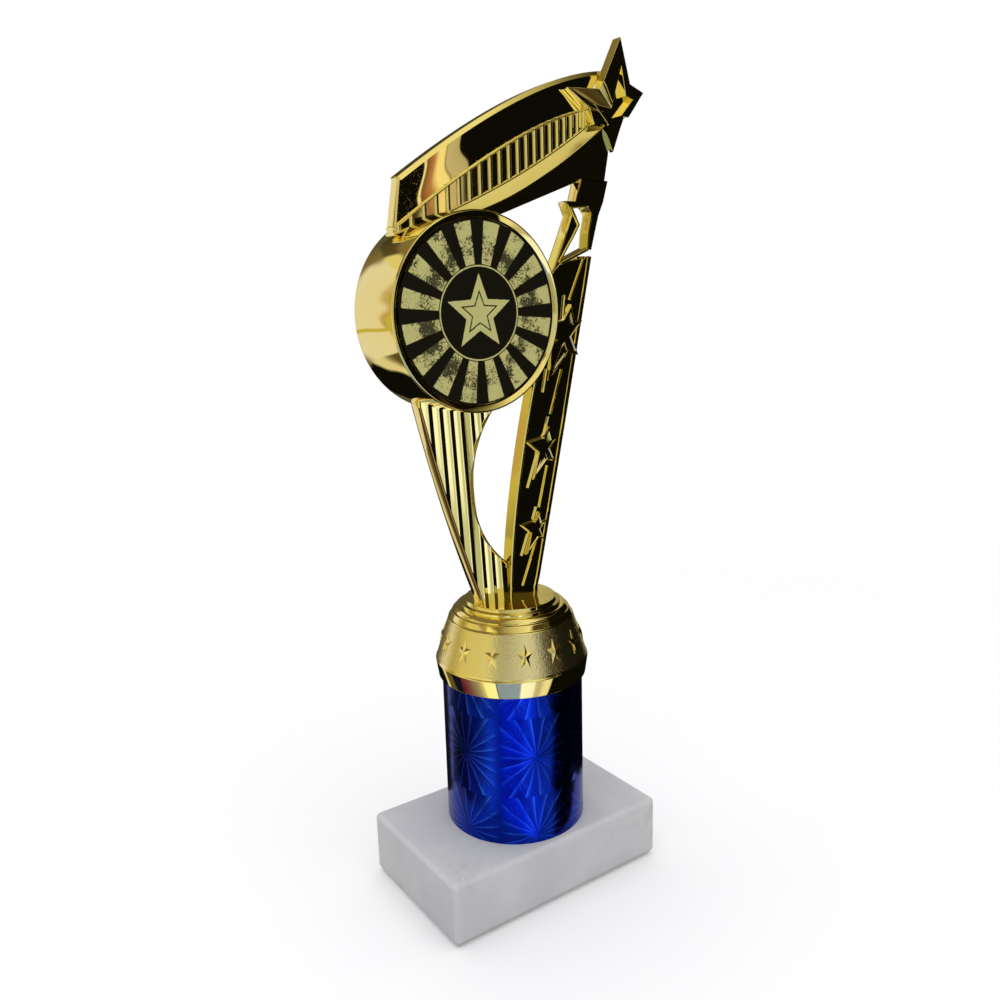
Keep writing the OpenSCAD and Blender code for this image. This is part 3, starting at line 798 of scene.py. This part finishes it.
def floor(context):
    """A plain pale floor that mirrors don't see; away from the trophy it fades into the white behind it."""
    reach = 30
    corners = points((-reach, -reach), (reach, -reach), (reach, reach), (-reach, reach)) @ np.eye(2, 3)
    ground = mesh_of("floor", (corners / MM, np.array([[0, 1, 2, 3]])))
    made, p = material("floor")
    tone = tuple(context.scene.trophy_stage.floor_colour)
    spot = p.place()
    away = p.node("VectorMath", {"operation": "LENGTH"}, out="Value", _0=spot)
    shade = p.mix(p.noise(spot, 0.002, 2.0), tone, tuple(min(1, c * 1.03) for c in tone))
    dull = p.node("BsdfPrincipled", Base_Color=shade, Roughness=0.9, Specular_IOR_Level=0.1)
    white = p.node("Emission", Color=(1, 1, 1), Strength=1.0)
    p.node("OutputMaterial", Surface=p.node("MixShader", _0=p.step(away, *FLOOR_FADE), _1=dull, _2=white))
    ground.data.materials.append(made)
    ground.visible_glossy = False


class TROPHY_OT_stage(TrophyOperator, bpy.types.Operator):
    """Camera, light and floor"""

    bl_idname = "trophy.stage"
    bl_label = "Stage"

    def build(self, context):
        context.scene.view_settings.view_transform = "Standard"
        camera(context)
        studio_world(context)
        key_light(context)
        floor(context)


# ---- base and column


class TROPHY_OT_base(TrophyOperator, bpy.types.Operator):
    """Marble block, felt and the fasteners under it"""

    bl_idname = "trophy.base"
    bl_label = "Base"

    def build(self, context):
        radius = shape().block_round / MM
        block = finished("marble_block", rounded_block(BLOCK_LOW, BLOCK_HIGH, radius), white_marble(),
                         "marble", "marble_base", sharp=60)
        self.drill(context, block)
        zinc = plain_finish("zinc_steel", (0.55, 0.56, 0.58), (0.68, 0.68, 0.66), 1.0, 0.28, 1.2, 0.2)
        for node in ("base_nut", "base_washer", "threaded_rod"):
            paint_node(node, zinc)
        paint_node("base_felt", plain_finish("grey_felt", (0.5, 0.5, 0.48), (0.7, 0.7, 0.68),
                                             0.0, 0.9, 2.5, 0.9))

    def drill(self, context, block):
        """Cuts the rod's hole and the pocket for the nut out of the block."""
        pocket_top = box_mm("base_washer")[1][2]
        rod_r = box_mm("threaded_rod")[1][0] + ROD_GAP
        pocket_r = box_mm("base_washer")[1][0] + POCKET_GAP
        low, high = BLOCK_LOW[2] - 1, BLOCK_HIGH[2] + 1
        profile = points((0, low), (pocket_r, low), (pocket_r, pocket_top), (rod_r, pocket_top),
                         (rod_r, high), (0, high))
        cutter = mesh_of("drill", lathe(profile, 64, closed=False))
        weld(cutter)
        cut = block.modifiers.new("bore", "BOOLEAN")
        cut.object, cut.operation = cutter, "DIFFERENCE"
        context.view_layer.update()
        result = bpy.data.meshes.new_from_object(block.evaluated_get(context.evaluated_depsgraph_get()))
        block.modifiers.remove(cut)
        block.data = result
        bpy.data.objects.remove(cutter)


class TROPHY_OT_column(TrophyOperator, bpy.types.Operator):
    """Foil sleeve, tube and plugs"""

    bl_idname = "trophy.column"
    bl_label = "Column"

    def build(self, context):
        inner = box_mm("column_tube")[1][0]
        low, high = FOIL_LOW[2], FOIL_HIGH[2]
        levels = np.linspace(low, high, 12)
        wall = np.vstack([np.stack([0 * levels + COLUMN_R, levels], 1),
                          np.stack([0 * levels + inner, levels[::-1]], 1)])
        sleeve = finished("foil_sleeve", lathe(wall, 256), blue_foil(), "blue_foil", "column_foil")
        self.unroll(sleeve)
        paint_node("column_tube", plain_finish("white_tube", (0.7, 0.7, 0.68), (0.8, 0.8, 0.78),
                                               0.0, 0.4, 0.6, 0.1))
        black = plain_finish("black_plug", (0.02, 0.02, 0.022), (0.035, 0.035, 0.038), 0.0, 0.5, 1.5, 0.15)
        for node in ("column_plug_lower", "column_plug_upper"):
            paint_node(node, black)

    def unroll(self, sleeve):
        """Maps the sleeve flat: u is the distance round the column, v the height, both in metres. The
        seam is at the back, and each face takes its own side of it."""
        mesh = sleeve.data
        co = np.zeros(len(mesh.vertices) * 3, np.float32)
        mesh.vertices.foreach_get("co", co)
        corner = np.zeros(len(mesh.loops), np.int32)
        mesh.loops.foreach_get("vertex_index", corner)
        p = co.reshape(-1, 3)[corner]
        angle = np.arctan2(p[:, 0], -p[:, 1]).reshape(-1, 4)
        middle = angle[:, :1]
        angle = np.where(angle - middle > math.pi, angle - 2 * math.pi, angle)
        angle = np.where(angle - middle < -math.pi, angle + 2 * math.pi, angle)
        flat = np.stack([angle.ravel() * COLUMN_R * MM, p[:, 2]], axis=1)
        mesh.uv_layers.new(name="sleeve").data.foreach_set("uv", flat.astype(np.float32).ravel())


# ---- riser cap


def riser_profile():
    """Outline of the cap's wall as (radius, height above its lower edge), outside first."""
    r, h = COLUMN_R, RISER_HIGH[2] - RISER_LOW[2]
    outside = points((r + 1.1, 0), (r + 1.9, 5.45), CONE_LOW, CONE_HIGH, (19.4, 19.3), (18.6, h - 1.6),
                     (18.1, h - 1.5))
    dish = bend((18.1, h - 1.5), (17.7, h - 0.5), (17, h), 5)[1:]
    inside = points((7.2, h), (7.2, h - 1.8), (15.2, h - 1.8), (17.6, 18.1), (r - 1.35, 3.7), (r - 1.35, 1.7),
                    (r + 0.2, 1.7), (r + 0.2, 0))
    return np.vstack([outside, dish, inside])


def cone_star(angle):
    """A five-pointed star on the cap's cone. Its polar grid (s, t) has radius s R(t), lies on the cone's
    slope and rises in flat facets from its edge to its middle; it is narrower than a regular star."""
    slope = (CONE_HIGH - CONE_LOW) / np.linalg.norm(CONE_HIGH - CONE_LOW)
    out = np.array([slope[1], -slope[0]])
    tips = np.arange(10)
    reach = np.where(tips % 2 == 0, 4.2, 1.9)
    turns = tips * math.pi / 5
    ring = densify(np.stack([BAND_STAR_WIDE * reach * np.sin(turns), reach * np.cos(turns)], 1), 4)
    s = np.array([0, 0.2, 0.45, 0.7, 0.94, 1.0])[:, None]
    lift = np.array([0.6, 0.52, 0.4, 0.27, 0.14, -0.4])[:, None]
    side, up = s * ring[None, :, 0], s * ring[None, :, 1]
    spot = (CONE_LOW + CONE_HIGH) / 2 + up[..., None] * slope + (lift + 0 * up)[..., None] * out
    r, turn = spot[..., 0], angle + side / spot[..., 0]
    grid = np.stack([r * np.sin(turn), -r * np.cos(turn), spot[..., 1] + RISER_LOW[2]], -1)
    return grid.reshape(-1, 3), quads(len(s), len(ring), wrap_columns=True)[:, ::-1]


class TROPHY_OT_riser(TrophyOperator, bpy.types.Operator):
    """Riser cap with its raised stars"""

    bl_idname = "trophy.riser"
    bl_label = "Riser cap"

    def build(self, context):
        profile = rounded(riser_profile(), 0.18, 3) + (0, RISER_LOW[2])
        finished("riser_shell", lathe(profile, 256), riser_gold(), "gold_plastic", "riser_cap")
        count = shape().band_stars
        first = math.radians(1)
        stars = [cone_star(first + i * 2 * math.pi / count) for i in range(count)]
        finished("riser_stars", joined(stars), mirror_gold(), "gold_plastic", "riser_cap", sharp=9)


# ---- figure


def gold_piece(name, parts, bevel=True, sharp=32, finish=mirror_gold):
    """A piece of the gold figure, made of one or more (vertices, faces) pairs."""
    width = shape().edge_round / MM if bevel else 0.0
    return finished(name, joined(parts), finish(), "gold_plastic", "figure_body", bevel=width, sharp=sharp)


def gold_bars(name, parts):
    """Bars and lines of the gold figure, which have round edges of their own."""
    return gold_piece(name, parts, bevel=False, sharp=60)


class TROPHY_OT_foot(TrophyOperator, bpy.types.Operator):
    """Foot disc and the boss under it"""

    bl_idname = "trophy.foot"
    bl_label = "Foot"

    def build(self, context):
        insert = box_mm("figure_insert")
        r, low, high = insert[1][0], insert[0][2] - FIGURE_Z, insert[1][2] - FIGURE_Z
        profile = points((15.8, 0), (15.8, 0.9), (14.5, 1.0), (14.3, 2.2), (0, 2.2), (0, high), (r, high),
                         (r, low), (3.4, low), (3.4, -10), (7, -10), (7, 0))
        outline = np.vstack([rounded(profile[:5], 0.22, 3, closed=False), profile[5:]])
        gold_piece("foot", [lathe(outline + (0, FIGURE_Z), 192)], bevel=False)
        paint_node("figure_insert", plain_finish("brass", (0.62, 0.42, 0.15), (0.72, 0.52, 0.22),
                                                 1.0, 0.25, 1.0, 0.1))


class TROPHY_OT_wing(TrophyOperator, bpy.types.Operator):
    """Wing panels, ribbed band and rails"""

    bl_idname = "trophy.wing"
    bl_label = "Wing"

    def build(self, context):
        n = 90
        gold_piece("wing_mirror", [plate(BAND_TOP, WING_TOP, n, self.swell, PANEL, 14)], sharp=50,
                   finish=clear_gold)
        gold_piece("wing_band", [plate(BAND_LOW, BAND_TOP, n, -PANEL, PANEL)])
        under_rail = np.vstack([RAIL_LOW, points((42, 146))])
        gold_piece("wing_lower", [plate(WING_LOW, under_rail, n, -PANEL, PANEL)])
        self.rails(n)
        self.ribs()

    def swell(self, flat, v):
        """Depth of the mirror panel's face: flat but for a faint wave that turns over along v near its
        left end, as a moulded face has, and bends what it mirrors into an S."""
        wave = np.tanh((flat[..., 0] + 20) / 8) * np.sin(5.2 * v - 0.6)
        return -PANEL + 0.25 + 0.012 * wave

    def rails(self, n):
        """Rims over the wing, at its end and under the ribs, and the sloped lower rail."""
        w = shape().rim_width / MM
        inner_top = WING_TOP - across_path(WING_TOP) * w
        start = BAND_LOW[BAND_LOW[:, 0] > -25.5]
        low, high = resample(RAIL_LOW, 70), resample(start, 70)

        def slope(flat, v):
            """Comes forward from the ribs' lower edge (v = 1) to the rail's lower edge (v = 0), and less so
            towards the star."""
            crest = 3.7 - 0.45 * np.clip((flat[..., 0] - 2) / 26, 0, 1)
            return -(crest - (crest - 2.2) * v)

        def lean_back(flat, v):
            """The top rim's face leans back towards the wing's outer edge, so it mirrors the ceiling."""
            return -RIM + 0.6 * v

        gold_bars("wing_rims", [
            plate(inner_top, WING_TOP, n, lean_back, RIM, 3),
            rod(BAND_TOP - across_path(BAND_TOP) * 0.3, w, RIM, 0.9),
            rod(BAND_LOW, 0.8, RIM, 0.5),
            rod(low + (0.2, 0.2), 0.5, 0.5, 0.8, y=-2.9),
            rod(WING_END + (w / 2, 0), w, RIM - 0.5, 0.8),
        ])
        gold_piece("wing_rail", [slab(low, high, slope, RIM, 3)], sharp=50)

    def ribs(self):
        """Upright rounded bars between the rails. Rib i stands at a + b i - c i^2, so they stand closer
        together towards the star."""
        width = shape().rib_width / MM
        parts = []
        for i in range(1, shape().rib_count + 1):
            x = -38.7 + 4.23 * i - 0.045 * i * i
            foot = np.interp(x, BAND_LOW[:, 0], BAND_LOW[:, 1])
            top = np.interp(x, BAND_TOP[:, 0], BAND_TOP[:, 1])
            if top - foot > 1:
                parts.append(rod(points((x, foot), (x, top)), width, RIM - 0.1, 0.6))
        gold_piece("wing_ribs", parts, bevel=False, sharp=70)


class TROPHY_OT_post(TrophyOperator, bpy.types.Operator):
    """Post with its flying stars, trails and the open star"""

    bl_idname = "trophy.post"
    bl_label = "Post"

    def build(self, context):
        left = np.vstack([POST_LEFT, points((10.4, 80), (11, 92), (14, 98), (20.6, 104.3))])
        right = POST_RIGHT[POST_RIGHT[:, 1] < 108.6]
        gold_piece("post", [plate(left, right, 80, -POST, POST)])
        w = shape().rim_width / MM
        edge = np.vstack([POST_LEFT, points((12.5, 76))])
        parts = [rod(edge - across_path(edge) * w / 2, w, RIM - 0.2, 0.4),
                 rod(right - (1.35, 0), 0.5, RIM, 0.5),
                 rod(points((20.6, 104), (31.2, 108.2)), w, RIM, 0.4)]
        parts += [rod(points(a, b), width, TRAIL, 0.6) for a, b, width in TRAILS]
        gold_bars("post_lines", parts)
        gold_piece("post_stars", [self.star(*place) for place in POST_STARS], bevel=False, sharp=40)
        gold_piece("open_star", [
            slab(densify(left, 6, False)[::-1], densify(right, 6, False)[::-1], -PANEL, PANEL)
            for left, right in (OPEN_STAR_LEFT, OPEN_STAR_RIGHT)
        ])
        edges = (OPEN_STAR_LEFT[0][1:] + (0.25, 0), OPEN_STAR_LEFT[1][:-1] - (0.25, 0),
                 OPEN_STAR_RIGHT[0][1:] + (0.25, 0))
        gold_bars("open_star_lines", [rod(edge, 0.5, RIM - 0.1, 0.6) for edge in edges])

    def star(self, centre, scale):
        """A flying star with a raised edge round a sunk face, alike on both sides of the post."""
        front = ((0, -STAR + 0.3), (0.7, -STAR + 0.3), (0.8, -STAR + 0.05), (0.84, -STAR), (0.92, -STAR),
                 (1.0, -STAR + 0.3), (1.0, -POST + 0.3))
        profile = front + tuple((s, -y) for s, y in reversed(front))
        return relief(FLYING_STAR * scale, centre, profile)


class TROPHY_OT_fan(TrophyOperator, bpy.types.Operator):
    """Ribbed fan between the foot and the drum"""

    bl_idname = "trophy.fan"
    bl_label = "Fan"

    def build(self, context):
        left = np.vstack([FAN_LEFT, points((-28, 78))])
        right = np.vstack([FAN_RIGHT, points((2, 78))])
        h = np.linspace(0, 78, 600)
        edges = [np.interp(h, side[:, 1], side[:, 0]) for side in (left, right)]
        low, high = (np.stack([x, h], 1) for x in edges)
        gold_piece("fan", [slab(high[::5], low[::5], -PANEL, PANEL)])
        lean, pitch = math.tan(math.radians(3)), 3.5
        section = self.section(shape().fan_rib_width / MM)
        parts = []
        for i in range(12):
            x = (i - 11) * pitch + 5.7 - lean * h
            inside = (x > edges[0]) & (x < edges[1])
            runs = np.split(np.arange(len(h)), np.flatnonzero(np.diff(inside)) + 1)
            for run in runs:
                if inside[run[0]] and len(run) > 25:
                    parts.append(self.rib(x, h, edges, run, section))
        parts.append(rod(low[::8], 1.0, RIM, 0.7))
        parts.append(rod(high[(h > 12) & (h < 72)][::8], 0.9, RIM, 0.7))
        gold_piece("fan_ribs", parts, bevel=False, sharp=24)

    def section(self, width):
        """A rib's section, (side, depth) from left to right: a long slope up, a crest and a steep fall; the
        back mirrors the front, and corners are rounded a little."""
        front = points((-0.5 * width, PANEL - 0.2), (0.2 * width, RIM - 0.14), (0.3 * width, RIM),
                       (0.38 * width, RIM - 0.2), (0.42 * width, PANEL - 0.2))
        return rounded(np.vstack([front * (1, -1), front[::-1]]), 0.1, 3)

    def rib(self, x, h, edges, run, section):
        """A rib whose ends are cut along the fan's edges: every line of its section runs as far down and up
        from the middle of the rib as it stays between the edges."""
        middle = run[len(run) // 2]
        line = x[None] + section[:, :1]
        out = (line < edges[0] + 0.1) | (line > edges[1] - 0.1)
        out[:, middle] = False
        index = np.arange(len(h))[None]
        ends = [np.where(out & (index < middle), index, 0).max(1),
                np.where(out & (index > middle), index, len(h) - 1).min(1)]
        flat = np.stack([np.stack([x[end] + section[:, 0], h[end]], 1) for end in ends[::-1]])
        return tube_of(upright(flat, np.broadcast_to(section[:, 1], flat.shape[:-1])))


class TROPHY_OT_large_star(TrophyOperator, bpy.types.Operator):
    """Large star at the wing's tip"""

    bl_idname = "trophy.large_star"
    bl_label = "Large star"

    def build(self, context):
        outer, inner = (densify(side, 8, False) for side in (STAR_OUTER, STAR_INNER))
        back = densify(STAR_SLOPE[:, None], 8, False)

        def sloped(flat, v):
            """The frame's face runs back by its slope from the inner edge (v = 0) to the outer one."""
            return -STAR_FRONT + back * v

        gold_piece("large_star_frame", [slab(inner, outer, sloped, -PANEL + 0.1, 3)])
        gold_bars("large_star_lines", [rod(STAR_INNER[:5] + (-0.15, 0), 0.5, 0.4, 0.6, y=-STAR_FRONT + 0.3),
                                       rod(STAR_OUTER[1:4], 0.5, 0.4, 0.6, y=-STAR_FRONT + 1.9)])
        left, right = (densify(side, 8, False) for side in (STAR_FLOOR_LEFT, STAR_FLOOR_RIGHT))
        gold_piece("large_star_floor", [slab(right, left, -PANEL - 1.2, -PANEL + 0.3, 3)])


class TROPHY_OT_drum(TrophyOperator, bpy.types.Operator):
    """Drum, its back cover and the emblem"""

    bl_idname = "trophy.drum"
    bl_label = "Drum and emblem"

    def turned(self, outline, turns):
        """An outline of (radius, depth) turned about the drum's axis."""
        return lathe(outline, turns, closed=False, centre=(DRUM_X, DRUM_Z), lying=True)

    def build(self, context):
        seat = box_mm("emblem_pad")[1][1]
        back_r = DRUM_R + 0.5
        inner_r = back_r - 3.2
        cover = COVER_LOW[1]
        well_r = RECESS_R - 0.6
        profile = points((0, seat), (well_r, seat), (well_r, DRUM_FRONT + 0.9), (DRUM_R - 0.45, DRUM_FRONT),
                         (DRUM_R, DRUM_FRONT + 0.4), (back_r, DRUM_BACK), (back_r - 2, DRUM_BACK),
                         (back_r - 2, cover), (inner_r, cover), (inner_r, seat + 2), (0, seat + 2))
        gold_piece("drum", [self.turned(rounded(profile, 0.2, 4, closed=False), 256)], bevel=False)
        r = (COVER_HIGH[0] - COVER_LOW[0]) / 2
        disc = points((0, DRUM_BACK - 0.3), (r - 5, DRUM_BACK - 0.3), (r - 4.5, DRUM_BACK), (r, DRUM_BACK),
                      (r, cover), (0, cover))
        finished("drum_cover", self.turned(rounded(disc, 0.15, 3, closed=False), 192), mirror_gold(),
                 "gold_plastic", "drum_back_cover")
        paint_node("emblem_disc", emblem_print())
        paint_node("emblem_pad", plain_finish("foam_tape", (0.75, 0.75, 0.72), (0.88, 0.88, 0.85),
                                              0.0, 0.8, 1.8, 0.4))


# ---- add-on


BUILDERS = (
    TROPHY_OT_stage, TROPHY_OT_base, TROPHY_OT_column, TROPHY_OT_riser, TROPHY_OT_foot, TROPHY_OT_fan,
    TROPHY_OT_post, TROPHY_OT_wing, TROPHY_OT_large_star, TROPHY_OT_drum,
)


class TROPHY_PT_panel(bpy.types.Panel):
    """Sidebar panel with the sizes and one button for each group of pieces"""

    bl_label = "Column Trophy"
    bl_space_type = "VIEW_3D"
    bl_region_type = "UI"
    bl_category = "Trophy"

    def draw(self, context):
        for settings in (context.scene.trophy_shape, context.scene.trophy_stage):
            box = self.layout.box()
            for name in settings.__annotations__:
                box.prop(settings, name)
        for builder in BUILDERS:
            self.layout.operator(builder.bl_idname)


CLASSES = (TrophyShape, TrophyStage, *BUILDERS, TROPHY_PT_panel)


def register():
    for cls in CLASSES:
        bpy.utils.register_class(cls)
    bpy.types.Scene.trophy_shape = bpy.props.PointerProperty(type=TrophyShape)
    bpy.types.Scene.trophy_stage = bpy.props.PointerProperty(type=TrophyStage)


def unregister():
    del bpy.types.Scene.trophy_stage
    del bpy.types.Scene.trophy_shape
    for cls in reversed(CLASSES):
        bpy.utils.unregister_class(cls)


def main():
    register()
    for builder in BUILDERS:
        family, action = builder.bl_idname.split(".")
        getattr(getattr(bpy.ops, family), action)()


if __name__ == "__main__":
    main()
